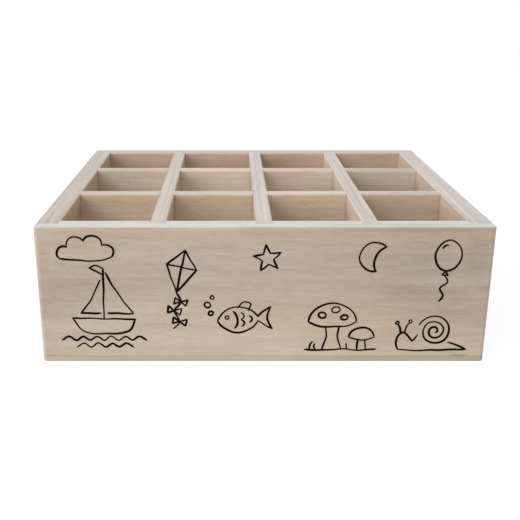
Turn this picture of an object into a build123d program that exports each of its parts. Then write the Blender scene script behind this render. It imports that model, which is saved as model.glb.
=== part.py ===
from build123d import *
import os

# An open-topped wooden sorting box: four walls on a thin base, and a grid of lapped dividers.
# Millimetres. +X is right, +Y is back, +Z is up. The origin is the middle of the underside.

# Compartments, measured between faces
column_count = 4
column_width = 59.1
front_row_depth = 72.0
middle_row_depth = 72.0
rear_row_depth = 64.0

# Boards
wall_thickness = 15.3
divider_thickness = 11.0
base_thickness = 4.0
overall_height = 95.4

# Joints: depths let in, how far under the top the side walls' housings stop, and a divider's glue gap
rebate_depth = 7.0
housing_depth = 7.0
housing_stop = 12.0
glue_gap = 0.1

# Sanded edges, eased round the openings between the joints only
outer_corner_radius = 3.0
wall_edge_radius = 1.0
divider_edge_radius = 1.2
base_edge_radius = 0.8

# Brads with countersunk heads that pin the base to the walls from below, in close holes
brad_length = 16.0
brad_shank_diameter = 1.6
brad_head_diameter = 3.2
brad_head_height = 1.2
brad_clearance = 0.05

# A rounded edge takes at most this share of the material beside it
largest_round = 0.9

# Sizes worked out from those above
column_widths = [column_width] * column_count
row_depths = [front_row_depth, middle_row_depth, rear_row_depth]
inner_length = sum(column_widths) + divider_thickness * (len(column_widths) - 1)
inner_depth = sum(row_depths) + divider_thickness * (len(row_depths) - 1)
overall_length = inner_length + 2 * wall_thickness
overall_depth = inner_depth + 2 * wall_thickness
board_height = overall_height - base_thickness
board_heights = (base_thickness, overall_height)
lap_height = base_thickness + board_height / 2
stop_height = overall_height - housing_stop
slot_width = divider_thickness + 2 * glue_gap
rebate_lip = wall_thickness - rebate_depth

# Rounds, held within the material that they are on
corner_round = min(outer_corner_radius, largest_round * rebate_lip)
wall_round = min(wall_edge_radius, largest_round * corner_round, largest_round * rebate_depth)
divider_round = min(divider_edge_radius, largest_round * divider_thickness / 2)
base_round = min(base_edge_radius, largest_round * corner_round, largest_round * base_thickness)


def opening_centres(openings):
    """Middle of each opening in a row of them that is centred on zero."""
    centres = []
    start = -(sum(openings) + divider_thickness * (len(openings) - 1)) / 2
    for opening in openings:
        centres.append(start + opening / 2)
        start += opening + divider_thickness
    return centres


def divider_centres(openings):
    """Middle of the divider that follows each opening but the last."""
    centres = opening_centres(openings)
    return [centre + (opening + divider_thickness) / 2 for centre, opening in zip(centres, openings[:-1])]


def centred(middle, width):
    """Low and high ends of a width about its middle."""
    return (middle - width / 2, middle + width / 2)


inner_x = inner_length / 2
inner_y = inner_depth / 2
column_x = opening_centres(column_widths)
row_y = opening_centres(row_depths)
cross_divider_x = divider_centres(column_widths)
long_divider_y = divider_centres(row_depths)
row_ranges = [centred(y, depth) for y, depth in zip(row_y, row_depths)]
lap_ranges = [centred(y, divider_thickness) for y in long_divider_y]


def block(x_range, y_range, z_range):
    """Rectangular block between two values along each axis."""
    ranges = (x_range, y_range, z_range)
    sizes = [high - low for low, high in ranges]
    middle = [(high + low) / 2 for low, high in ranges]
    return Pos(*middle) * Box(*sizes)


def joined(pieces):
    """One solid from pieces that meet face to face."""
    whole = pieces[0]
    for piece in pieces[1:]:
        whole += piece
    return whole


def top_face_edges(solid):
    """Edges round the top face of a board."""
    return solid.faces().sort_by(Axis.Z)[-1].edges()


def low_top_edge(solid, axis):
    """The top face's edge at the low end of an axis."""
    return top_face_edges(solid).sort_by(axis)[0]


def high_top_edge(solid, axis):
    """The top face's edge at the high end of an axis."""
    return top_face_edges(solid).sort_by(axis)[-1]


def front_wall():
    """Full-length board, rebated at both ends and housed for the cross dividers."""
    front = -overall_depth / 2
    shoulder = front + rebate_lip
    lip = block(centred(0, overall_length), (front, shoulder), board_heights)
    lip = fillet(lip.edges().filter_by(Axis.Z).group_by(Axis.Y)[0], corner_round)
    lip = fillet(top_face_edges(lip).sort_by(Axis.Y)[:-1], wall_round)
    tongue = block(centred(0, inner_length), (shoulder, -inner_y), board_heights)
    tongue = fillet(high_top_edge(tongue, Axis.Y), wall_round)
    wall = lip + tongue
    for x in cross_divider_x:
        wall -= block(centred(x, slot_width), centred(-inner_y, 2 * housing_depth), board_heights)
    return wall


def joint_ranges(end_depth):
    """Where a front-to-back board is joined: let into the front and back walls, and at each lap."""
    end_y = inner_y + end_depth
    return [(-end_y, -inner_y), *lap_ranges, (inner_y, end_y)]


def left_wall():
    """Board that seats in the rebates at both ends, with stopped housings for the long dividers."""
    board_x = (-overall_length / 2, -inner_x)
    spans = []
    for row_range in row_ranges:
        span = block(board_x, row_range, board_heights)
        spans.append(fillet([low_top_edge(span, Axis.X), high_top_edge(span, Axis.X)], wall_round))
    for joint_range in joint_ranges(rebate_depth):
        span = block(board_x, joint_range, board_heights)
        spans.append(fillet(low_top_edge(span, Axis.X), wall_round))
    wall = joined(spans)
    housing_x = centred(-inner_x, 2 * housing_depth)
    for y in long_divider_y:
        wall -= block(housing_x, centred(y, slot_width), (base_thickness, stop_height))
    return wall


def cross_divider(x):
    """Front-to-back divider with an unbroken top, notched from below over the long dividers."""
    board_x = centred(x, divider_thickness)
    spans = []
    for row_range in row_ranges:
        span = block(board_x, row_range, board_heights)
        spans.append(fillet([low_top_edge(span, Axis.X), high_top_edge(span, Axis.X)], divider_round))
    for joint_range in joint_ranges(housing_depth):
        spans.append(block(board_x, joint_range, board_heights))
    divider = joined(spans)
    for y in long_divider_y:
        divider -= block(centred(x, slot_width), centred(y, slot_width), (0, lap_height))
    return divider


def long_divider(y):
    """Left-to-right divider, notched from above under the cross dividers, with a tongue at each end."""
    board_y = centred(y, divider_thickness)
    divider = block(centred(0, inner_length), board_y, board_heights)
    divider = fillet([low_top_edge(divider, Axis.Y), high_top_edge(divider, Axis.Y)], divider_round)
    tongue_heights = (base_thickness, stop_height - glue_gap)
    divider += block(centred(0, inner_length + 2 * housing_depth), board_y, tongue_heights)
    for x in cross_divider_x:
        divider -= block(centred(x, slot_width), centred(y, slot_width), (lap_height, 2 * overall_height))
    return divider


def base_panel():
    """Thin sheet glued and pinned under the walls, flush with them all round."""
    panel = block(centred(0, overall_length), centred(0, overall_depth), (0, base_thickness))
    panel = fillet(panel.edges().filter_by(Axis.Z), corner_round)
    return fillet(panel.faces().sort_by(Axis.Z)[0].edges(), base_round)


def brad_places():
    """Brads stand under the middle of each wall: one to a column, and one to the middle row at each side."""
    wall_y = (overall_depth - wall_thickness) / 2
    wall_x = (overall_length - wall_thickness) / 2
    places = []
    for side in (-1, 1):
        places += [(x, side * wall_y) for x in column_x]
        places.append((side * wall_x, row_y[1]))
    return places


def brad(place, clearance):
    """Brad driven up from the underside or, with a clearance, the countersunk hole that takes it."""
    upright = (Align.CENTER, Align.CENTER, Align.MIN)
    shank_radius = brad_shank_diameter / 2 + clearance
    head_radius = brad_head_diameter / 2 + clearance
    shank = Cylinder(shank_radius, brad_length, align=upright)
    head = Cone(head_radius, shank_radius, brad_head_height, align=upright)
    return Pos(*place) * (shank + head)


def make_nodes():
    """Every piece of the box, by name."""
    holes = [brad(place, brad_clearance) for place in brad_places()]
    front = front_wall()
    left = left_wall()
    nodes = {
        "base_panel": base_panel() - holes,
        "front_wall": front - holes,
        "back_wall": mirror(front, about=Plane.XZ) - holes,
        "left_wall": left - holes,
        "right_wall": mirror(left, about=Plane.YZ) - holes,
    }
    for number, x in enumerate(cross_divider_x, start=1):
        nodes[f"cross_divider_{number}"] = cross_divider(x)
    for number, y in enumerate(long_divider_y, start=1):
        nodes[f"long_divider_{number}"] = long_divider(y)
    nodes["base_brads"] = Compound(children=[brad(place, 0) for place in brad_places()])
    return nodes


os.makedirs("parts", exist_ok=True)
for name, shape in make_nodes().items():
    export_step(shape, f"parts/{name}.step")
    print(name, round(shape.volume))
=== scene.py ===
from collections import namedtuple
import math

import bmesh
import bpy
from mathutils import Matrix, Vector


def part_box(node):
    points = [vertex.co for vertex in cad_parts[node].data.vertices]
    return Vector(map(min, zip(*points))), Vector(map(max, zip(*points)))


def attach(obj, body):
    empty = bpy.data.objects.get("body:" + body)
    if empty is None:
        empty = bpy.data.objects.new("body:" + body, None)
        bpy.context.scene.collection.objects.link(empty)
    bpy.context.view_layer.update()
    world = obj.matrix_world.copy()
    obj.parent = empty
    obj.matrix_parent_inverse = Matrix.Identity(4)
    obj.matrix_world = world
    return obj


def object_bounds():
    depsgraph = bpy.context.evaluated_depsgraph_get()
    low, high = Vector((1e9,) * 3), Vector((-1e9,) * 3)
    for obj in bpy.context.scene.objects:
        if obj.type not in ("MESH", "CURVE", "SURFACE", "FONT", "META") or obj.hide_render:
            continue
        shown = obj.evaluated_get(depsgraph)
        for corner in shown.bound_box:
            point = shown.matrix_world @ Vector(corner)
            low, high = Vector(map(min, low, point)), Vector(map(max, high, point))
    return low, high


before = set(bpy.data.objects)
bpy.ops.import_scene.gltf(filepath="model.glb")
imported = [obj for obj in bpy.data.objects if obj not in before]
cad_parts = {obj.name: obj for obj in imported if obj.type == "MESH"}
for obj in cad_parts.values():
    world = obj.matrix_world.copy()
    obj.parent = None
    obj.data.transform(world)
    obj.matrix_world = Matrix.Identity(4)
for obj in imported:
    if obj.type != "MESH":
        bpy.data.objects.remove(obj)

# Objects are placed in metres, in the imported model's frame: +X right, +Y back, +Z up, base at zero.
# The sizes named here, the materials and the drawing are in millimetres, unless a comment says otherwise.
MM = 0.001
cad_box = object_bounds()

# The photograph's camera: focal length and optical centre in pixels of a square picture, pitch in degrees
PICTURE_SIZE = 520
FOCAL_LENGTH = 801.7
OPTICAL_CENTRE = (230.7, 259.9)
CAMERA_PLACE = (-22.2, -626.4, 240.6)
CAMERA_PITCH = 18.66
SENSOR_WIDTH = 36.0

# Softboxes that look at the middle of the box: place and side in metres, and power in watts
Softbox = namedtuple("Softbox", "place side power")
SOFTBOXES = {
    "key_softbox": Softbox((-2.16, -1.97, 1.35), 2.6, 74.0),
    "fill_softbox": Softbox((0.67, -2.51, 1.55), 2.4, 9.5),
    "back_softbox": Softbox((0.0, 1.25, 0.70), 0.5, 0.8),
}

# Strength of the white world: as a light, and as it is seen
WORLD_LIGHT = 0.58
WORLD_SEEN = 1.0

# The floor: side in metres, and drop under the box that keeps their two faces apart
FLOOR_SIDE = 6.0
FLOOR_DROP = 0.05

# The floor's paint: grey that gives light back to the box, and the faint grey and the glow that are seen
FLOOR_GREY = 0.55
SEEN_GREY = 0.22
SEEN_GLOW = 0.86

# Colours and tints, as linear values
PALE_WOOD = (0.590, 0.486, 0.400)
WARM_WOOD = (0.520, 0.410, 0.320)
DARK_FIBRE = (0.230, 0.140, 0.080)
# Colour of the joint lines; in the inner corners of the openings they are also painted shade
JOINT_SHADE = (0.170, 0.115, 0.075)
OUTER_TINT = (0.878, 0.870, 0.850)
BASE_TINT = (0.940, 0.930, 0.910)
# Painted highlight on the rounded edges
EDGE_HIGHLIGHT = (0.670, 0.605, 0.530)
PLY_CORE = (0.390, 0.270, 0.170)
STEEL_DARK = (0.42, 0.42, 0.43)
STEEL_BRIGHT = (0.60, 0.60, 0.62)
INK_DARK = (0.003, 0.0015, 0.0008)
INK_THIN = (0.014, 0.008, 0.004)
WHITE = (1.0, 1.0, 1.0)

# Read from the frame: outside of the front, and tops of the base and the box
FRONT_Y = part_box("front_wall")[0].y / MM
BASE_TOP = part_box("base_panel")[1].z / MM
BOX_TOP = cad_box[1].z / MM

# Read from the frame: inner faces of the walls, and ends of the side walls
INNER_X = -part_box("left_wall")[1].x / MM
INNER_Y = -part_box("front_wall")[1].y / MM
LIP_Y = -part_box("left_wall")[0].y / MM

# Read from the frame: both faces of each divider
CROSS_FACES = [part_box(f"cross_divider_{n}")[side].x / MM for n in (1, 2, 3) for side in (0, 1)]
LONG_FACES = [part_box(f"long_divider_{n}")[side].y / MM for n in (1, 2) for side in (0, 1)]

# Depth inside the walls at which their outer faces' tint takes over, and half width of the change
SKIN = 4.0
SKIN_BLUR = 1.0

# A board: axis of its grain, tint inside the box, colour of its top, heart of its log, seed and sheen.
# The tint inside the box is partly the board's own shade and partly painted light and shade on the inner
# faces.
# The colour of its top is painted paler and greyer than its faces, a painted sheen.
Board = namedtuple("Board", "grain tint top heart seed sheen", defaults=[0.25])
BOARDS = {
    "front_wall": Board("X", (0.95, 0.87, 0.78), (0.54, 0.52, 0.49), (70.0, -60.0), 3.0, sheen=1.0),
    "back_wall": Board("X", (0.93, 0.84, 0.75), (0.55, 0.45, 0.38), (-60.0, 150.0), 17.0),
    "left_wall": Board("Y", (0.96, 0.84, 0.55), (0.52, 0.45, 0.38), (-80.0, -50.0), 38.9),
    "right_wall": Board("Y", (1.20, 1.12, 1.05), (0.63, 0.56, 0.51), (90.0, 160.0), 50.9),
    "cross_divider_1": Board("Y", (0.97, 0.78, 0.53), (0.55, 0.49, 0.43), (-40.0, -70.0), 56.1),
    "cross_divider_2": Board("Y", (1.05, 0.98, 0.90), (0.59, 0.52, 0.49), (-20.0, -70.0), 72.3),
    "cross_divider_3": Board("Y", (1.33, 1.33, 1.29), (0.59, 0.51, 0.46), (10.0, -70.0), 82.1),
    "long_divider_1": Board("X", (1.11, 1.07, 0.99), (0.60, 0.52, 0.45), (-70.0, -80.0), 91.0),
    "long_divider_2": Board("X", (1.13, 1.18, 1.17), (0.54, 0.46, 0.39), (20.0, -80.0), 113.0),
}
SHEEN_ROUGHNESS = 0.4

# A layer of noise: cycles per mm along the grain and across it, detail, and step from the piece's seed
Layer = namedtuple("Layer", "along across detail step")
CLOUDS = Layer(0.009, 0.04, 2.0, 51)
FIBRE = Layer(0.03, 1.3, 3.0, 11)
RIPPLE = Layer(0.085, 0.42, 2.0, 19)
HAIRS = Layer(0.15, 4.5, 1.0, 29)
FLECKS = Layer(0.17, 1.5, 0.0, 23)
STREAKS = Layer(0.02, 0.40, 2.0, 37)
BANDS = Layer(0.006, 0.34, 1.0, 43)
RING_WARP = Layer(0.006, 0.03, 2.0, 0)
JOINT_WEAR = Layer(0.06, 0.06, 2.0, 71)
PLY_CLOUDS = Layer(0.006, 0.02, 2.0, 5)
PLY_FIBRE = Layer(0.03, 1.3, 3.0, 0)
PLY_WEAR = Layer(0.06, 0.06, 2.0, 9)
SCRATCHES = Layer(2.5, 2.5, 3.0, 0)
INK_FIBRE = Layer(0.2, 2.2, 2.0, 7)

# The way in which a seed moves a layer of noise
SEED_WAY = (1.0, 0.7, 1.3)

# The stretch of noise over which a cloud, and a fleck or a streak, comes up
CLOUD_RANGE = (0.35, 0.65)
MARK_RANGE = (0.66, 0.80)

# How squarely a face looks along an axis where it starts to be, and where it is, end grain, a top or flat
END_GRAIN_RANGE = (0.60, 0.90)
TOP_RANGE = (0.75, 0.97)
FLAT_RANGE = (0.80, 0.97)

# Yearly rings: spacing, width of their warp, and shares of a ring at which it has risen and starts to fall
RING_SPACING = 5.0
WARP_WIDTH = 16.0
RISE_END = 0.82
FALL_START = 0.86

# Tone of the wood: its level between two rings, and what rings, end grain and layers take or add
WOOD_TONE = 1.02
RING_TONE = -0.05
END_GRAIN_TONE = -0.14
LAYER_TONES = {FIBRE: 0.16, RIPPLE: 0.22, HAIRS: 0.08, BANDS: 0.07}
TOP_BAND_TONE = 0.80

# Strength of the painted highlight on the rounded edges, of flecks and streaks, and the share of a joint
# line that is lost on a sanded top
EDGE_HIGHLIGHT_STRENGTH = 0.25
FLECK_STRENGTH = 0.20
STREAK_STRENGTH = 0.12
TOP_LINE_LOSS = 0.85

# Surface of the wood: roughness, what the fibres add to it, and height, strength and flecks of the relief
WOOD_ROUGHNESS = 0.46
FIBRE_ROUGHNESS = 0.16
RELIEF = 0.05
RELIEF_STRENGTH = 0.35
FLECK_RELIEF = -0.8

# The plywood: plies, heart and seed of its log, spacing of its rings, tone, what rings take, and roughness
PLY_COUNT = 3
PLY_HEART = (30.0, -400.0)
PLY_SEED = 121.0
PLY_RING_SPACING = 9.0
PLY_TONE = 0.98
PLY_RING_TONE = -0.08
PLY_ROUGHNESS = 0.50

# The plywood's dark core: strength, and where it fades, in plies from the middle of the sheet
CORE_STRENGTH = 0.12
CORE_EDGE = (0.42, 0.58)

# A joint: lines across an axis, and the stretch of another axis, outwards from the middle, where they show
Joint = namedtuple("Joint", "axis places half_width strength across low high", defaults=["", 0.0, 0.0])
BASE_SEAM = Joint("Z", [BASE_TOP], 0.7, 0.50)

# Half width and strength of the lines where boards meet in the openings, which are dark joints and painted
# shade in the inner corners, and at the lips of the walls
OPENING_LINE_AND_SHADE = (0.9, 0.45)
LIP_LINE = (0.4, 0.35)

# How far a line runs over a side wall's top, how far it stops under a divider's, and how softly it ends
LINE_OVERRUN = 0.5
LINE_STOP = 0.6
LINE_BLUR = 0.2

# Wear of the joint lines: the stretch of noise that breaks them, and the least share that stays
WEAR_RANGE = (0.3, 0.7)
LEAST_LINE = 0.45

# A soft patch that is lighter or darker: middle along the grain and up, half sizes, change of tone
Patch = namedtuple("Patch", "along z half_length half_height change")
OUTER_PATCHES = {
    "front_wall": [
        Patch(0.0, 62.0, 200.0, 26.0, -0.09),
        Patch(-115.0, 48.0, 50.0, 16.0, -0.10),
        Patch(112.0, 68.0, 48.0, 9.0, -0.09),
        Patch(-92.0, 66.0, 62.0, 11.0, -0.05),
        Patch(-60.0, 90.0, 90.0, 8.0, 0.04),
        Patch(-10.0, 14.0, 160.0, 46.0, 0.09),
        Patch(125.0, 62.0, 60.0, 40.0, -0.09),
        Patch(70.0, 15.0, 105.0, 22.0, 0.05),
        Patch(10.0, 28.0, 95.0, 13.0, 0.05),
        Patch(-121.5, 82.0, 7.0, 0.6, -0.14),
        Patch(-144.0, 77.5, 4.0, 0.9, -0.22),
        Patch(146.0, 53.0, 6.0, 3.0, -0.12),
        Patch(-143.5, 4.2, 5.0, 0.9, -0.30),
        Patch(133.5, 4.4, 7.0, 1.0, -0.50),
        Patch(140.0, 77.0, 14.0, 14.0, -0.15),
        Patch(-134.0, 70.0, 6.0, 3.0, -0.14),
        Patch(98.0, 93.5, 50.0, 2.4, -0.15),
        Patch(-147.0, 74.0, 9.0, 12.0, -0.10),
        Patch(-115.0, 19.0, 45.0, 6.0, -0.06),
    ],
}
# Patches inside the box are painted light and shade: painted shade deep in the corners of the openings,
# and painted light across the dividers' shadows
INNER_PAINTED_LIGHT_AND_SHADE = {
    "left_wall": [Patch(-45.0, 78.0, 26.0, 14.0, -0.18)],
    "right_wall": [Patch(-44.0, 76.0, 26.0, 14.0, -0.18), Patch(39.0, 77.0, 26.0, 13.0, -0.34)],
    "cross_divider_2": [Patch(-80.0, 95.0, 75.0, 60.0, 0.09)],
    "cross_divider_3": [Patch(-44.0, 74.0, 28.0, 14.0, -0.40), Patch(39.0, 77.0, 26.0, 13.0, -0.22)],
    "long_divider_1": [
        Patch(-100.0, 72.0, 50.0, 16.0, 0.10),
        Patch(-62.0, 74.0, 26.0, 20.0, 0.16),
        Patch(108.0, 84.0, 50.0, 40.0, -0.11),
    ],
    "long_divider_2": [
        Patch(-108.0, 91.0, 45.0, 8.0, -0.12),
        Patch(-45.0, 80.0, 55.0, 35.0, 0.14),
        Patch(105.0, 88.0, 45.0, 22.0, -0.17),
    ],
}

# The pen line: width, swell and its wavelength, share of the width at an end, and length of the taper
PEN_WIDTH = 1.35
PEN_SWELL = 0.22
SWELL_LENGTH = 9.0
END_SHARE = 0.7
TAPER_LENGTH = 6.0

# Surface of the steel and the ink: noise range of scratches and of thin ink, roughness, and reflection
SCRATCH_RANGE = (0.3, 0.7)
STEEL_ROUGHNESS = (0.3, 0.5)
THIN_RANGE = (0.5, 0.8)
INK_ROUGHNESS = (0.65, 0.80)
INK_SPECULAR = 0.05

# The unsteady hand: size and wavelengths of its shake, and what a stroke's seed adds to each phase
SHAKE = 0.22
SHAKE_LENGTHS = (3.1, 2.7)
SHAKE_PHASES = (2.3, 1.7)
SWELL_PHASE = 3.9

# The ink: how proud and how deep it is, step from stroke to stroke, and steps along one and round an end
INK_PROUD = 0.05
INK_DEPTH = 0.12
STROKE_STEP = 0.002
PEN_STEP = 0.9
CAP_STEPS = 6


def add_node(tree, kind, inputs=None, **options):
    """Adds a shader node, sets its options and fills its inputs with values or links."""
    made = tree.nodes.new(kind)
    for option, value in options.items():
        setattr(made, option, value)
    for key, value in (inputs or {}).items():
        if isinstance(value, bpy.types.NodeSocket):
            tree.links.new(value, made.inputs[key])
        else:
            made.inputs[key].default_value = value
    return made


def maths(tree, operation, *values):
    """Output of a Math node."""
    return add_node(tree, "ShaderNodeMath", dict(enumerate(values)), operation=operation).outputs[0]


def ramp(tree, value, low, high, new_low=0.0, new_high=1.0):
    """Smoothly maps a value from one range to another."""
    inputs = {"Value": value, "From Min": low, "From Max": high, "To Min": new_low, "To Max": new_high}
    kind = "ShaderNodeMapRange"
    return add_node(tree, kind, inputs, interpolation_type="SMOOTHSTEP").outputs["Result"]


def mix_colour(tree, factor, first, second):
    """Mixes two colours, each given as a socket or three numbers."""
    made = add_node(tree, "ShaderNodeMix", {0: factor}, data_type="RGBA")
    for index, colour in ((6, first), (7, second)):
        if isinstance(colour, bpy.types.NodeSocket):
            tree.links.new(colour, made.inputs[index])
        else:
            made.inputs[index].default_value = (*colour, 1.0)
    return made.outputs[2]


def scaled(tree, value, factor):
    """A colour or a place times a number, or times three."""
    if isinstance(factor, tuple):
        made = add_node(tree, "ShaderNodeVectorMath", {0: value, 1: factor}, operation="MULTIPLY")
    else:
        made = add_node(tree, "ShaderNodeVectorMath", {0: value, "Scale": factor}, operation="SCALE")
    return made.outputs[0]


def split_axes(tree, vector):
    """The three parts of a vector."""
    return add_node(tree, "ShaderNodeSeparateXYZ", {0: vector}).outputs


def noise(tree, place, layer, seed=0.0):
    """Noise of a layer, at a place whose first axis runs along the grain."""
    stretched = scaled(tree, place, (layer.along, layer.across, layer.across))
    start = seed + layer.step
    shift = tuple(start * way for way in SEED_WAY)
    moved = add_node(tree, "ShaderNodeVectorMath", {0: stretched, 1: shift}).outputs[0]
    made = add_node(tree, "ShaderNodeTexNoise", {"Vector": moved, "Scale": 1.0, "Detail": layer.detail})
    return made.outputs["Fac"]


def new_material(name):
    """A new material, the nodes behind it and its principled shader."""
    material = bpy.data.materials.new(name)
    material.use_nodes = True
    tree = material.node_tree
    return material, tree, tree.nodes["Principled BSDF"]


def place_mm(tree):
    """Place on the object in millimetres."""
    place = add_node(tree, "ShaderNodeTexCoord").outputs["Object"]
    return scaled(tree, place, (1 / MM,) * 3)


def along_grain(tree, axes, grain):
    """Place turned so that its first axis runs along the grain."""
    order = ("X", "Y", "Z") if grain == "X" else ("Y", "X", "Z")
    parts = {index: axes["XYZ".index(axis)] for index, axis in enumerate(order)}
    return add_node(tree, "ShaderNodeCombineXYZ", parts).outputs[0]


def face_directions(tree):
    """How squarely a face looks along each axis, either way."""
    normal = add_node(tree, "ShaderNodeNewGeometry").outputs["Normal"]
    return [maths(tree, "ABSOLUTE", part) for part in split_axes(tree, normal)]


def outside_of_walls(tree, axes):
    """One from a skin's depth inside the walls outwards, and zero in and round the openings."""
    past_x = maths(tree, "SUBTRACT", maths(tree, "ABSOLUTE", axes[0]), INNER_X + SKIN)
    past_y = maths(tree, "SUBTRACT", maths(tree, "ABSOLUTE", axes[1]), INNER_Y + SKIN)
    return ramp(tree, maths(tree, "MAXIMUM", past_x, past_y), -SKIN_BLUR, SKIN_BLUR)


def edge_highlights(tree, towards):
    """Strength of the painted highlight on rounded edges, which is only where a face looks squarely along
    no axis.
    """
    squarest = maths(tree, "MAXIMUM", towards[0], maths(tree, "MAXIMUM", towards[1], towards[2]))
    return ramp(tree, squarest, *FLAT_RANGE, EDGE_HIGHLIGHT_STRENGTH, 0.0)


def growth_rings(tree, place, heart, spacing, seed):
    """Soft light and dark bands of the yearly rings round the heart of the log, outside the board."""
    warp = noise(tree, place, RING_WARP, seed)
    parts = split_axes(tree, place)
    offset = add_node(tree, "ShaderNodeCombineXYZ", {1: parts[1], 2: parts[2]}).outputs[0]
    inputs = {0: offset, 1: (0.0, *heart)}
    radius = add_node(tree, "ShaderNodeVectorMath", inputs, operation="DISTANCE").outputs["Value"]
    warped = maths(tree, "MULTIPLY_ADD", warp, WARP_WIDTH, radius)
    phase = maths(tree, "FRACT", maths(tree, "DIVIDE", warped, spacing))
    rising = ramp(tree, phase, 0.0, RISE_END)
    falling = ramp(tree, phase, FALL_START, 1.0, 1.0, 0.0)
    return maths(tree, "MULTIPLY", rising, falling)


def joint_lines(tree, axes, joints, wear):
    """Thin dark lines where a board meets its neighbours, broken by wear; in the openings' inner corners
    they are also painted shade.
    """
    total = 0.0
    for joint in joints:
        coordinate = axes["XYZ".index(joint.axis)]
        nearest = joint.half_width
        for line_place in joint.places:
            distance = maths(tree, "ABSOLUTE", maths(tree, "SUBTRACT", coordinate, line_place))
            nearest = maths(tree, "MINIMUM", nearest, distance)
        line = ramp(tree, nearest, 0.0, joint.half_width, joint.strength, 0.0)
        if joint.across:
            outwards = maths(tree, "ABSOLUTE", axes["XYZ".index(joint.across)])
            past_low = ramp(tree, outwards, joint.low - LINE_BLUR, joint.low + LINE_BLUR)
            before_high = ramp(tree, outwards, joint.high - LINE_BLUR, joint.high + LINE_BLUR, 1.0, 0.0)
            line = maths(tree, "MULTIPLY", line, maths(tree, "MULTIPLY", past_low, before_high))
        total = maths(tree, "MAXIMUM", total, line)
    return maths(tree, "MULTIPLY", total, ramp(tree, wear, *WEAR_RANGE, LEAST_LINE, 1.0))


def patch_total(tree, length, height, patches):
    """Change of tone that soft oval patches make, at a place along the grain and up the board."""
    total = 0.0
    for patch in patches:
        along = maths(tree, "DIVIDE", maths(tree, "SUBTRACT", length, patch.along), patch.half_length)
        up = maths(tree, "DIVIDE", maths(tree, "SUBTRACT", height, patch.z), patch.half_height)
        distance = maths(tree, "MULTIPLY_ADD", along, along, maths(tree, "MULTIPLY", up, up))
        total = maths(tree, "ADD", total, ramp(tree, distance, 0.0, 1.0, patch.change, 0.0))
    return total


def board_tone(tree, grain, rings, end_grain, top_face):
    """Factor near one that darkens and lightens the wood with its rings, layers, end grain and top."""
    tone = maths(tree, "MULTIPLY_ADD", rings, RING_TONE, WOOD_TONE)
    for layer, change in LAYER_TONES.items():
        tone = maths(tree, "ADD", tone, maths(tree, "MULTIPLY_ADD", grain[layer], change, -change / 2))
    tone = maths(tree, "MULTIPLY", tone, maths(tree, "MULTIPLY_ADD", end_grain, END_GRAIN_TONE, 1.0))
    bands = maths(tree, "MULTIPLY_ADD", grain[BANDS], TOP_BAND_TONE, -TOP_BAND_TONE / 2)
    return maths(tree, "ADD", tone, maths(tree, "MULTIPLY", top_face, bands))


def add_patches(tree, tone, node, length, height, outside):
    """Adds a board's patches to its tone, each set on its own side of the board; those inside the box are
    painted light and shade.
    """
    inside = maths(tree, "SUBTRACT", 1.0, outside)
    for patches, shown in ((OUTER_PATCHES, outside), (INNER_PAINTED_LIGHT_AND_SHADE, inside)):
        change = patch_total(tree, length, height, patches.get(node, ()))
        tone = maths(tree, "MULTIPLY_ADD", change, shown, tone)
    return tone


def clean_colour(tree, board, clouds, outside, top_face, highlight):
    """Colour of the wood before its tone and marks: inside the box with painted light and shade, outside,
    on top with a painted sheen, and at its edges with a painted highlight.
    """
    plain = mix_colour(tree, ramp(tree, clouds, *CLOUD_RANGE), PALE_WOOD, WARM_WOOD)
    # The tint inside the box holds painted light and shade as well as the board's own shade
    inner_colour = scaled(tree, plain, board.tint)
    outer_colour = scaled(tree, plain, OUTER_TINT)
    colour = mix_colour(tree, outside, inner_colour, outer_colour)
    # The top is painted paler and greyer than the faces: a painted sheen
    colour = mix_colour(tree, top_face, colour, board.top)
    # A painted highlight on the rounded edges
    return mix_colour(tree, highlight, colour, EDGE_HIGHLIGHT)


def board_marks(tree, flecks, streaks):
    """Strength of the dark ray flecks and streaks, whichever is stronger."""
    fleck_marks = maths(tree, "MULTIPLY", flecks, FLECK_STRENGTH)
    return maths(tree, "MAXIMUM", fleck_marks, maths(tree, "MULTIPLY", streaks, STREAK_STRENGTH))


def finish_wood(tree, shader, colour, fibre, roughness, height):
    """Links a wood's colour, its roughness between the fibres and the relief of its surface."""
    tree.links.new(colour, shader.inputs["Base Color"])
    rough = maths(tree, "MULTIPLY_ADD", fibre, FIBRE_ROUGHNESS, roughness)
    tree.links.new(rough, shader.inputs["Roughness"])
    inputs = {"Strength": RELIEF_STRENGTH, "Distance": RELIEF * MM, "Height": height}
    tree.links.new(add_node(tree, "ShaderNodeBump", inputs).outputs["Normal"], shader.inputs["Normal"])


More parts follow.
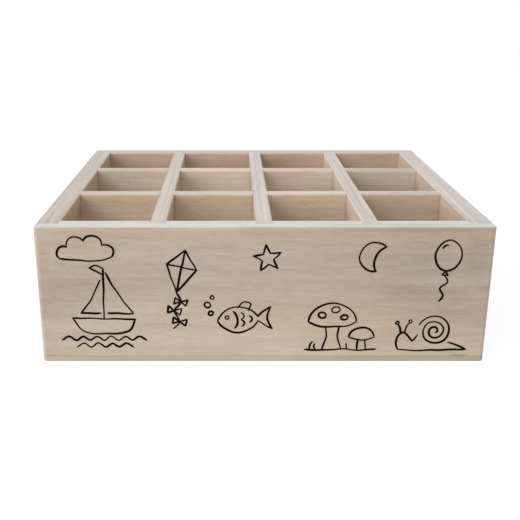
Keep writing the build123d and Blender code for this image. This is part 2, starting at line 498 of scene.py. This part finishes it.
def board_wood(node, board):
    """Bare, fine-sanded pale hardwood, solid through, with end grain and a painted highlight on its
    rounded edges.
    """
    material, tree, shader = new_material(f"{node}_wood")
    axes = split_axes(tree, place_mm(tree))
    place = along_grain(tree, axes, board.grain)
    layers = (CLOUDS, FIBRE, RIPPLE, HAIRS, FLECKS, STREAKS, BANDS)
    grain = {layer: noise(tree, place, layer, board.seed) for layer in layers}
    rings = growth_rings(tree, place, board.heart, RING_SPACING, board.seed)
    flecks = ramp(tree, grain[FLECKS], *MARK_RANGE)
    streaks = ramp(tree, grain[STREAKS], *MARK_RANGE)

    grain_axis = "XYZ".index(board.grain)
    towards = face_directions(tree)
    end_grain = ramp(tree, towards[grain_axis], *END_GRAIN_RANGE)
    top_face = ramp(tree, towards[2], *TOP_RANGE)
    outside = outside_of_walls(tree, axes)

    tone = board_tone(tree, grain, rings, end_grain, top_face)
    tone = add_patches(tree, tone, node, axes[grain_axis], axes[2], outside)
    colour = clean_colour(tree, board, grain[CLOUDS], outside, top_face, edge_highlights(tree, towards))
    colour = scaled(tree, colour, tone)
    colour = mix_colour(tree, board_marks(tree, flecks, streaks), colour, DARK_FIBRE)
    lines = joint_lines(tree, axes, board_joints(node), noise(tree, place, JOINT_WEAR, board.seed))
    lines = maths(tree, "MULTIPLY", lines, maths(tree, "MULTIPLY_ADD", top_face, -TOP_LINE_LOSS, 1.0))
    colour = mix_colour(tree, lines, colour, JOINT_SHADE)

    shader.inputs["Sheen Weight"].default_value = board.sheen
    shader.inputs["Sheen Roughness"].default_value = SHEEN_ROUGHNESS
    height = maths(tree, "ADD", grain[FIBRE], grain[HAIRS])
    height = maths(tree, "MULTIPLY_ADD", flecks, FLECK_RELIEF, height)
    finish_wood(tree, shader, colour, grain[FIBRE], WOOD_ROUGHNESS, height)
    return material


def plywood(name):
    """Thin three-ply sheet: faces grained along X, and a darker core at the edges."""
    material, tree, shader = new_material(name)
    axes = split_axes(tree, place_mm(tree))
    place = along_grain(tree, axes, "X")
    rings = growth_rings(tree, place, PLY_HEART, PLY_RING_SPACING, PLY_SEED)
    fibre = noise(tree, place, PLY_FIBRE, PLY_SEED)
    clouds = ramp(tree, noise(tree, place, PLY_CLOUDS, PLY_SEED), *CLOUD_RANGE)
    change = LAYER_TONES[FIBRE]
    tone = maths(tree, "MULTIPLY_ADD", rings, PLY_RING_TONE, PLY_TONE)
    tone = maths(tree, "ADD", tone, maths(tree, "MULTIPLY_ADD", fibre, change, -change / 2))
    colour = scaled(tree, mix_colour(tree, clouds, PALE_WOOD, WARM_WOOD), BASE_TINT)
    colour = scaled(tree, colour, tone)

    from_core = maths(tree, "ABSOLUTE", maths(tree, "SUBTRACT", axes[2], BASE_TOP / 2))
    core_edge = [plies * BASE_TOP / PLY_COUNT for plies in CORE_EDGE]
    core = ramp(tree, from_core, *core_edge, CORE_STRENGTH, 0.0)
    colour = mix_colour(tree, core, colour, PLY_CORE)
    seam = joint_lines(tree, axes, [BASE_SEAM], noise(tree, place, PLY_WEAR, PLY_SEED))
    colour = mix_colour(tree, seam, colour, JOINT_SHADE)
    finish_wood(tree, shader, colour, fibre, PLY_ROUGHNESS, fibre)
    return material


def steel(name):
    """Bright wire steel with fine scratches."""
    material, tree, shader = new_material(name)
    scratches = noise(tree, place_mm(tree), SCRATCHES)
    shader.inputs["Metallic"].default_value = 1.0
    tree.links.new(mix_colour(tree, scratches, STEEL_DARK, STEEL_BRIGHT), shader.inputs["Base Color"])
    tree.links.new(ramp(tree, scratches, *SCRATCH_RANGE, *STEEL_ROUGHNESS), shader.inputs["Roughness"])
    return material


def ink(name):
    """Matt black printing ink, a little thin in places so that the wood's fibres show."""
    material, tree, shader = new_material(name)
    place = along_grain(tree, split_axes(tree, place_mm(tree)), "X")
    thin = ramp(tree, noise(tree, place, INK_FIBRE), *THIN_RANGE)
    tree.links.new(mix_colour(tree, thin, INK_DARK, INK_THIN), shader.inputs["Base Color"])
    tree.links.new(ramp(tree, thin, 0.0, 1.0, *INK_ROUGHNESS), shader.inputs["Roughness"])
    shader.inputs["Specular IOR Level"].default_value = INK_SPECULAR
    return material


def board_joints(node):
    """Lines where a board meets its neighbours, each on the faces that they really cross; in the openings
    they are also painted shade.
    """
    across_x = [-INNER_X, *CROSS_FACES, INNER_X]
    across_y = [-INNER_Y, *LONG_FACES, INNER_Y]
    lips = [-LIP_Y, LIP_Y]
    if node in ("front_wall", "back_wall"):
        into_wall = Joint("X", across_x, *OPENING_LINE_AND_SHADE, "Y", 0.0, LIP_Y)
        return [BASE_SEAM, into_wall, Joint("Y", lips, *LIP_LINE, "X", INNER_X, 2 * INNER_X)]
    if node in ("left_wall", "right_wall"):
        into_wall = Joint("Y", across_y, *OPENING_LINE_AND_SHADE, "X", 0.0, INNER_X + LINE_OVERRUN)
        return [BASE_SEAM, into_wall, Joint("Y", lips, *LIP_LINE)]
    if node.startswith("cross"):
        return [Joint("Y", across_y, *OPENING_LINE_AND_SHADE, "Z", 0.0, BOX_TOP - LINE_STOP)]
    return [Joint("X", across_x, *OPENING_LINE_AND_SHADE)]


def paint(node, material):
    """Gives a CAD node one material."""
    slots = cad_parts[node].data.materials
    slots.clear()
    slots.append(material)


def dress_nodes():
    """Each board is its own piece of the same timber, and its colours also carry painted light, shade and
    sheen.
    """
    for node, board in BOARDS.items():
        paint(node, board_wood(node, board))
    paint("base_panel", plywood("base_plywood"))
    paint("base_brads", steel("brad_steel"))


def turning(degrees):
    """Rotation in the plane of the drawing."""
    return Matrix.Rotation(math.radians(degrees), 2)


def step_count(length, fewest):
    """Number of steps in which a stretch of a stroke is drawn."""
    return max(fewest, math.ceil(length / PEN_STEP))


def line(*points):
    """Straight stretches through the given points."""
    made = []
    for start, end in zip(points, points[1:]):
        count = step_count(math.dist(start, end), fewest=2)
        made += [Vector(start).lerp(Vector(end), step / count) for step in range(count)]
    return [*made, Vector(points[-1])]


def oval(centre, radii, start=0.0, end=360.0):
    """Stretch of an ellipse between two angles in degrees."""
    count = step_count(math.radians(abs(end - start)) * max(radii), fewest=8)
    made = []
    for step in range(count + 1):
        angle = math.radians(start + (end - start) * step / count)
        made.append(Vector(centre) + Vector((radii[0] * math.cos(angle), radii[1] * math.sin(angle))))
    return made


def bow(start, end, rise):
    """Circular arc between two points that rises to the left of the way from one to the other."""
    start, end = Vector(start), Vector(end)
    half = (end - start).length / 2
    radius = (half * half + rise * rise) / (2 * abs(rise))
    left = Vector((start.y - end.y, end.x - start.x)).normalized() * math.copysign(1, rise)
    centre = (start + end) / 2 + left * (abs(rise) - radius)
    first = start - centre
    sweep = -math.copysign(2 * math.atan2(half, radius - abs(rise)), rise)
    count = step_count(radius * abs(sweep), fewest=4)
    made = []
    for step in range(count + 1):
        spoke = first.copy()
        spoke.rotate(turning(math.degrees(sweep * step / count)))
        made.append(centre + spoke)
    return made


def curve(*points):
    """Smooth curve through the given points."""
    inner = [Vector(point) for point in points]
    ends = [2 * inner[0] - inner[1], *inner, 2 * inner[-1] - inner[-2]]
    made = []
    for before, start, end, after in zip(ends, ends[1:], ends[2:], ends[3:]):
        count = step_count((end - start).length, fewest=3)
        for step in range(count):
            t = step / count
            part = 2 * start + (end - before) * t
            part += (2 * before - 5 * start + 4 * end - after) * t * t
            part += (3 * start - before - 3 * end + after) * t * t * t
            made.append(part / 2)
    return [*made, Vector(points[-1])]


def spiral(centre, first_radius, last_radius, start, turns):
    """Spiral that opens evenly, in steps that get shorter in angle as it gets wider."""
    easing = 0.7
    count = step_count(2 * math.pi * turns * last_radius, fewest=8)
    made = []
    for step in range(count + 1):
        part = (step / count) ** easing
        angle = math.radians(start) + 2 * math.pi * turns * part
        radius = first_radius + (last_radius - first_radius) * part
        made.append(Vector(centre) + radius * Vector((math.cos(angle), math.sin(angle))))
    return made


def shaken(points, seed):
    """A stroke drawn by hand: unsteady but at its ends, with half the pen's width at each point."""
    lengths = [0.0]
    for start, end in zip(points, points[1:]):
        lengths.append(lengths[-1] + (end - start).length)
    whole = lengths[-1]
    made = []
    half_widths = []
    for point, length in zip(points, lengths):
        across = math.sin(length / SHAKE_LENGTHS[0] + seed * SHAKE_PHASES[0])
        up = math.cos(length / SHAKE_LENGTHS[1] + seed * SHAKE_PHASES[1])
        made.append(point + Vector((across, up)) * SHAKE * math.sin(math.pi * length / whole))
        swell = 1 + PEN_SWELL * math.sin(length / SWELL_LENGTH + seed * SWELL_PHASE)
        taper = min(1.0, END_SHARE + min(length, whole - length) / TAPER_LENGTH)
        half_widths.append(PEN_WIDTH / 2 * swell * taper)
    return made, half_widths


def ribbon(points, half_widths):
    """Outline of a stroke with round ends: its corners, and its faces by number of corner."""
    left, right, across = [], [], []
    for number, (point, half) in enumerate(zip(points, half_widths)):
        before = points[max(number - 1, 0)]
        after = points[min(number + 1, len(points) - 1)]
        way = (after - before).normalized()
        side = Vector((-way.y, way.x)) * half
        left.append(point + side)
        right.append(point - side)
        across.append((way * half, side))
    caps = []
    for point, (way, side), sign in ((points[-1], across[-1], 1), (points[0], across[0], -1)):
        angles = [math.pi * step / CAP_STEPS for step in range(1, CAP_STEPS)]
        caps.append([point + sign * (side * math.cos(angle) + way * math.sin(angle)) for angle in angles])
    corners = [*left, *caps[0], *reversed(right), *caps[1]]
    count, cap = len(points), CAP_STEPS - 1
    far = [2 * count + cap - 1 - number for number in range(count)]
    faces = [(number, number + 1, far[number + 1], far[number]) for number in range(count - 1)]
    faces.append([*range(count - 1, count + cap + 1)])
    faces.append([*range(2 * count + cap - 1, 2 * count + 2 * cap), 0])
    return corners, faces


def draw(name, place, strokes, material, turn=0.0):
    """One motif of the drawing on the front board: its strokes as thin closed solids in a single piece."""
    mesh = bpy.data.meshes.new(name)
    build = bmesh.new()
    for number, stroke in enumerate(strokes):
        placed = []
        for point in stroke:
            moved = point.copy()
            moved.rotate(turning(turn))
            placed.append(moved + Vector(place))
        corners, faces = ribbon(*shaken(placed, number + len(name)))
        near_y = FRONT_Y - INK_PROUD - STROKE_STEP * number
        deep_y = FRONT_Y + INK_DEPTH
        near = [build.verts.new(Vector((corner.x, near_y, corner.y)) * MM) for corner in corners]
        deep = [build.verts.new(Vector((corner.x, deep_y, corner.y)) * MM) for corner in corners]
        for face in faces:
            build.faces.new([near[index] for index in face])
            build.faces.new([deep[index] for index in reversed(face)])
        for index in range(len(corners)):
            following = (index + 1) % len(corners)
            build.faces.new((near[following], near[index], deep[index], deep[following]))
    bmesh.ops.recalc_face_normals(build, faces=build.faces)
    build.to_mesh(mesh)
    build.free()
    mesh.materials.append(material)
    piece = bpy.data.objects.new(name, mesh)
    bpy.context.scene.collection.objects.link(piece)
    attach(piece, "root")


def cloud():
    """Puffs along the top and a long flat underside."""
    corners = [(-17, -5), (-12, 3), (-1, 7), (11, 4), (17, -4)]
    puffs = [bow(start, end, 0.42 * math.dist(start, end)) for start, end in zip(corners, corners[1:])]
    return [*puffs, curve((17, -4), (9, -6.5), (-6, -6.2), (-17, -5))]


def boat():
    """Small sailing boat with a pennant, on two waves."""
    hull = [line((-21, 1), (21, 0)), curve((21, 0), (16, -8.5), (0, -10.5), (-14, -8.5), (-21, 1))]
    mast = line((0, 0), (1, 36))
    main_sail = [curve((2.5, 33), (9, 20), (20, 4)), line((20, 4), (3, 4.5))]
    fore_sail = [curve((-1.5, 28), (-7, 16), (-15, 4.5)), line((-15, 4.5), (-2, 4.5))]
    pennant = [curve((1, 36), (-4, 38.5), (-8, 36.5)), curve((-8, 36.5), (-4, 34.5), (0.6, 31.5))]
    wave_length = 9.5
    rise = 1.6
    fall = -1.2
    waves = []
    for start, level, count in ((-29, -14, 6), (-19, -19, 4)):
        turns = []
        for step in range(2 * count + 1):
            turns.append((start + wave_length * step / 2, level + (rise if step % 2 else fall)))
        waves.append(curve(*turns))
    return [*hull, mast, *main_sail, *fore_sail, *pennant, *waves]


def kite():
    """Kite with its crossed spars and a tail of three bows."""
    top, right, bottom, left = (0, 15), (10, 3), (0, -15), (-10, 3)
    frame_lines = [line(top, right), line(right, bottom), line(bottom, left), line(left, top)]
    spars = [line(top, bottom), line(left, right)]
    knots = [(4, -21), (1, -28), (6, -35)]
    tail = curve(bottom, *knots, (3, -41))
    bows = []
    for x, z in knots:
        for side in (-1, 1):
            bows.append(line((x, z), (x + 4.5 * side, z + 2.4), (x + 4.2 * side, z - 2.4), (x, z)))
    return [*frame_lines, *spars, tail, *bows]


def fish():
    """Fish with a gill, scales, a fin, and bubbles."""
    body = [bow((-17, 0), (10, 1.5), 8.5), bow((-17, 0), (10, -1.5), -8.5)]
    tail = [curve((10, side * 1.5), (14, side * 5), (19, side * 8)) for side in (-1, 1)]
    tail.append(curve((19, 8), (16, 0), (19, -8)))
    eye = oval((-10.5, 2), (1.3, 1.3))
    gill = bow((-6, 6), (-6, -6), 2.5)
    scales = [bow((x, z + 2.2), (x, z - 2.2), 1.8) for x, z in ((-1, 2.6), (-1, -2.6), (4.5, 0))]
    fin = curve((-3, 8.4), (1, 12.5), (6, 11), (4, 6.3))
    bubbles = [oval((-21, 6), (1.5, 1.5)), oval((-23, 12), (2.1, 2.1)), oval((-19.5, 17), (1.3, 1.3))]
    return [*body, *tail, eye, gill, *scales, fin, *bubbles]


def star():
    """Five-pointed star, one stroke to a side."""
    tip_radius = 9.5
    notch_radius = 4.0
    sides = 10
    points = []
    for corner in range(sides + 1):
        angle = math.radians(90 + 360 / sides * corner)
        radius = notch_radius if corner % 2 else tip_radius
        points.append((radius * math.cos(angle), radius * math.sin(angle)))
    return [line(start, end) for start, end in zip(points, points[1:])]


def mushrooms():
    """A tall spotted mushroom and a small one, in the grass."""
    tall = [oval((0, 20), (16, 13.5), 0, 180), curve((-16, 20), (-8, 17), (8, 17), (16, 20))]
    stem = [curve((-4.5, 17.2), (-4, 9), (-6.5, 0)), curve((4.5, 17.2), (4, 9), (6.5, 0))]
    spots = [oval((-7, 25), (2.6, 2.0)), oval((2, 29), (2.8, 2.0)), oval((8, 23.5), (2.2, 1.8))]
    small = [oval((20, 9), (8.5, 7), 0, 180), curve((11.5, 9), (17, 7.2), (23, 7.2), (28.5, 9))]
    small_stem = [line((17.8, 7.4), (17.2, 0)), line((22.4, 7.4), (23, 0))]
    blades = [bow((-15, 0), (-13, 5.5), 0.8), bow((-11, 0), (-11.5, 4), 0.5), bow((11, 0), (10, 4.5), 0.6)]
    ground = curve((-18, 0), (-8, -0.6), (6, 0.3), (18, -0.5), (30, 0.2))
    return [*tall, *stem, *spots, *small, *small_stem, *blades, ground]


def moon():
    """Crescent."""
    tips = ((4.5, 9), (4.5, -9))
    return [oval((0, 0), (10, 10), 63, 297), bow(*tips, -4.2)]


def snail():
    """Snail with a spiral shell."""
    shell = spiral((3, 13.5), 1.2, 11.5, -60, 2.6)
    foot = curve((-21, 0), (-8, -0.8), (10, -0.3), (25, 0))
    tail = curve((25, 0), (19, 3.4), (12.6, 5.2))
    neck = curve((-8.4, 10.6), (-11.5, 6.5), (-14.5, 9.5), (-18, 12.5), (-21.5, 9.5), (-22.5, 4), (-21, 0))
    horns = [bow((-17, 12.3), (-14, 19.5), 0.9), bow((-20, 11.6), (-22, 18.5), -0.9)]
    tips = [oval((-13.7, 20.6), (1.1, 1.1)), oval((-22.3, 19.6), (1.1, 1.1))]
    return [shell, foot, tail, neck, *horns, *tips]


def balloon():
    """Balloon on a loose string."""
    skin = oval((0, 0), (8.5, 10.5), -88, 268)
    knot = [line((0, -10.6), (-2, -13.6)), line((-2, -13.6), (2, -13.6)), line((2, -13.6), (0, -10.6))]
    string = curve((0, -13.8), (2.5, -18), (-1.5, -23), (1.5, -28), (-0.5, -32))
    glint = bow((-4.5, 4.5), (-1.5, 7), 1.0)
    return [skin, *knot, string, glint]


def print_drawing():
    """Simple line motifs spread over the front board."""
    material = ink("printing_ink")
    draw("drawing_cloud", (-117, 79), cloud(), material)
    draw("drawing_boat", (-107, 31), boat(), material)
    draw("drawing_kite", (-55, 65), kite(), material, turn=-12)
    draw("drawing_fish", (-14, 31), fish(), material, turn=4)
    draw("drawing_star", (2, 74), star(), material, turn=8)
    draw("drawing_mushrooms", (46, 9), mushrooms(), material)
    draw("drawing_moon", (72, 75), moon(), material, turn=-20)
    draw("drawing_snail", (112, 9), snail(), material)
    draw("drawing_balloon", (120, 76), balloon(), material, turn=-6)


def add_camera():
    """Camera at the photograph's place, with its view shifted as the photograph is framed."""
    data = bpy.data.cameras.new("photo_camera")
    data.sensor_width = SENSOR_WIDTH
    data.lens = FOCAL_LENGTH / PICTURE_SIZE * SENSOR_WIDTH
    data.shift_x = 0.5 - OPTICAL_CENTRE[0] / PICTURE_SIZE
    data.shift_y = OPTICAL_CENTRE[1] / PICTURE_SIZE - 0.5
    camera = bpy.data.objects.new("photo_camera", data)
    camera.location = [part * MM for part in CAMERA_PLACE]
    camera.rotation_euler = (math.radians(90 - CAMERA_PITCH), 0, 0)
    bpy.context.scene.collection.objects.link(camera)
    bpy.context.scene.camera = camera


def seen_directly(tree):
    """One for what the camera sees, straight or in a reflection or through glass."""
    path = add_node(tree, "ShaderNodeLightPath").outputs
    either = maths(tree, "MAXIMUM", path["Is Camera Ray"], path["Is Glossy Ray"])
    return maths(tree, "MAXIMUM", either, path["Is Transmission Ray"])


def add_world():
    """White world that is seen brighter than it lights the box."""
    world = bpy.data.worlds.new("studio")
    bpy.context.scene.world = world
    world.use_nodes = True
    tree = world.node_tree
    background = tree.nodes["Background"]
    background.inputs["Color"].default_value = (*WHITE, 1.0)
    strength = ramp(tree, seen_directly(tree), 0.0, 1.0, WORLD_LIGHT, WORLD_SEEN)
    tree.links.new(strength, background.inputs["Strength"])


def grey_paint(tree, level):
    """Output of a diffuse shader in one grey."""
    return add_node(tree, "ShaderNodeBsdfDiffuse", {"Color": (level, level, level, 1.0)}).outputs[0]


def add_floor():
    """Floor that lights the box as grey paint, and is seen as white with a faint shadow."""
    bpy.ops.mesh.primitive_plane_add(size=FLOOR_SIDE, location=(0, 0, -FLOOR_DROP * MM))
    floor = bpy.context.object
    floor.name = "floor"
    material, tree, shader = new_material("floor_paint")
    tree.nodes.remove(shader)
    glow = add_node(tree, "ShaderNodeEmission", {"Color": (*WHITE, 1.0), "Strength": SEEN_GLOW})
    seen = add_node(tree, "ShaderNodeAddShader", {0: grey_paint(tree, SEEN_GREY), 1: glow.outputs[0]})
    inputs = {0: seen_directly(tree), 1: grey_paint(tree, FLOOR_GREY), 2: seen.outputs[0]}
    either = add_node(tree, "ShaderNodeMixShader", inputs)
    tree.links.new(either.outputs[0], tree.nodes["Material Output"].inputs["Surface"])
    floor.data.materials.append(material)


def add_softboxes():
    """Square area lamps that look at the middle of the box."""
    middle = Vector((0, 0, cad_box[1].z / 2))
    for name, softbox in SOFTBOXES.items():
        data = bpy.data.lights.new(name, "AREA")
        data.shape = "SQUARE"
        data.size = softbox.side
        data.energy = softbox.power
        lamp = bpy.data.objects.new(name, data)
        lamp.location = softbox.place
        lamp.rotation_euler = (middle - lamp.location).to_track_quat("-Z", "Y").to_euler()
        bpy.context.scene.collection.objects.link(lamp)


dress_nodes()
print_drawing()
add_camera()
add_world()
add_floor()
add_softboxes()
bpy.context.scene.view_settings.view_transform = "Standard"
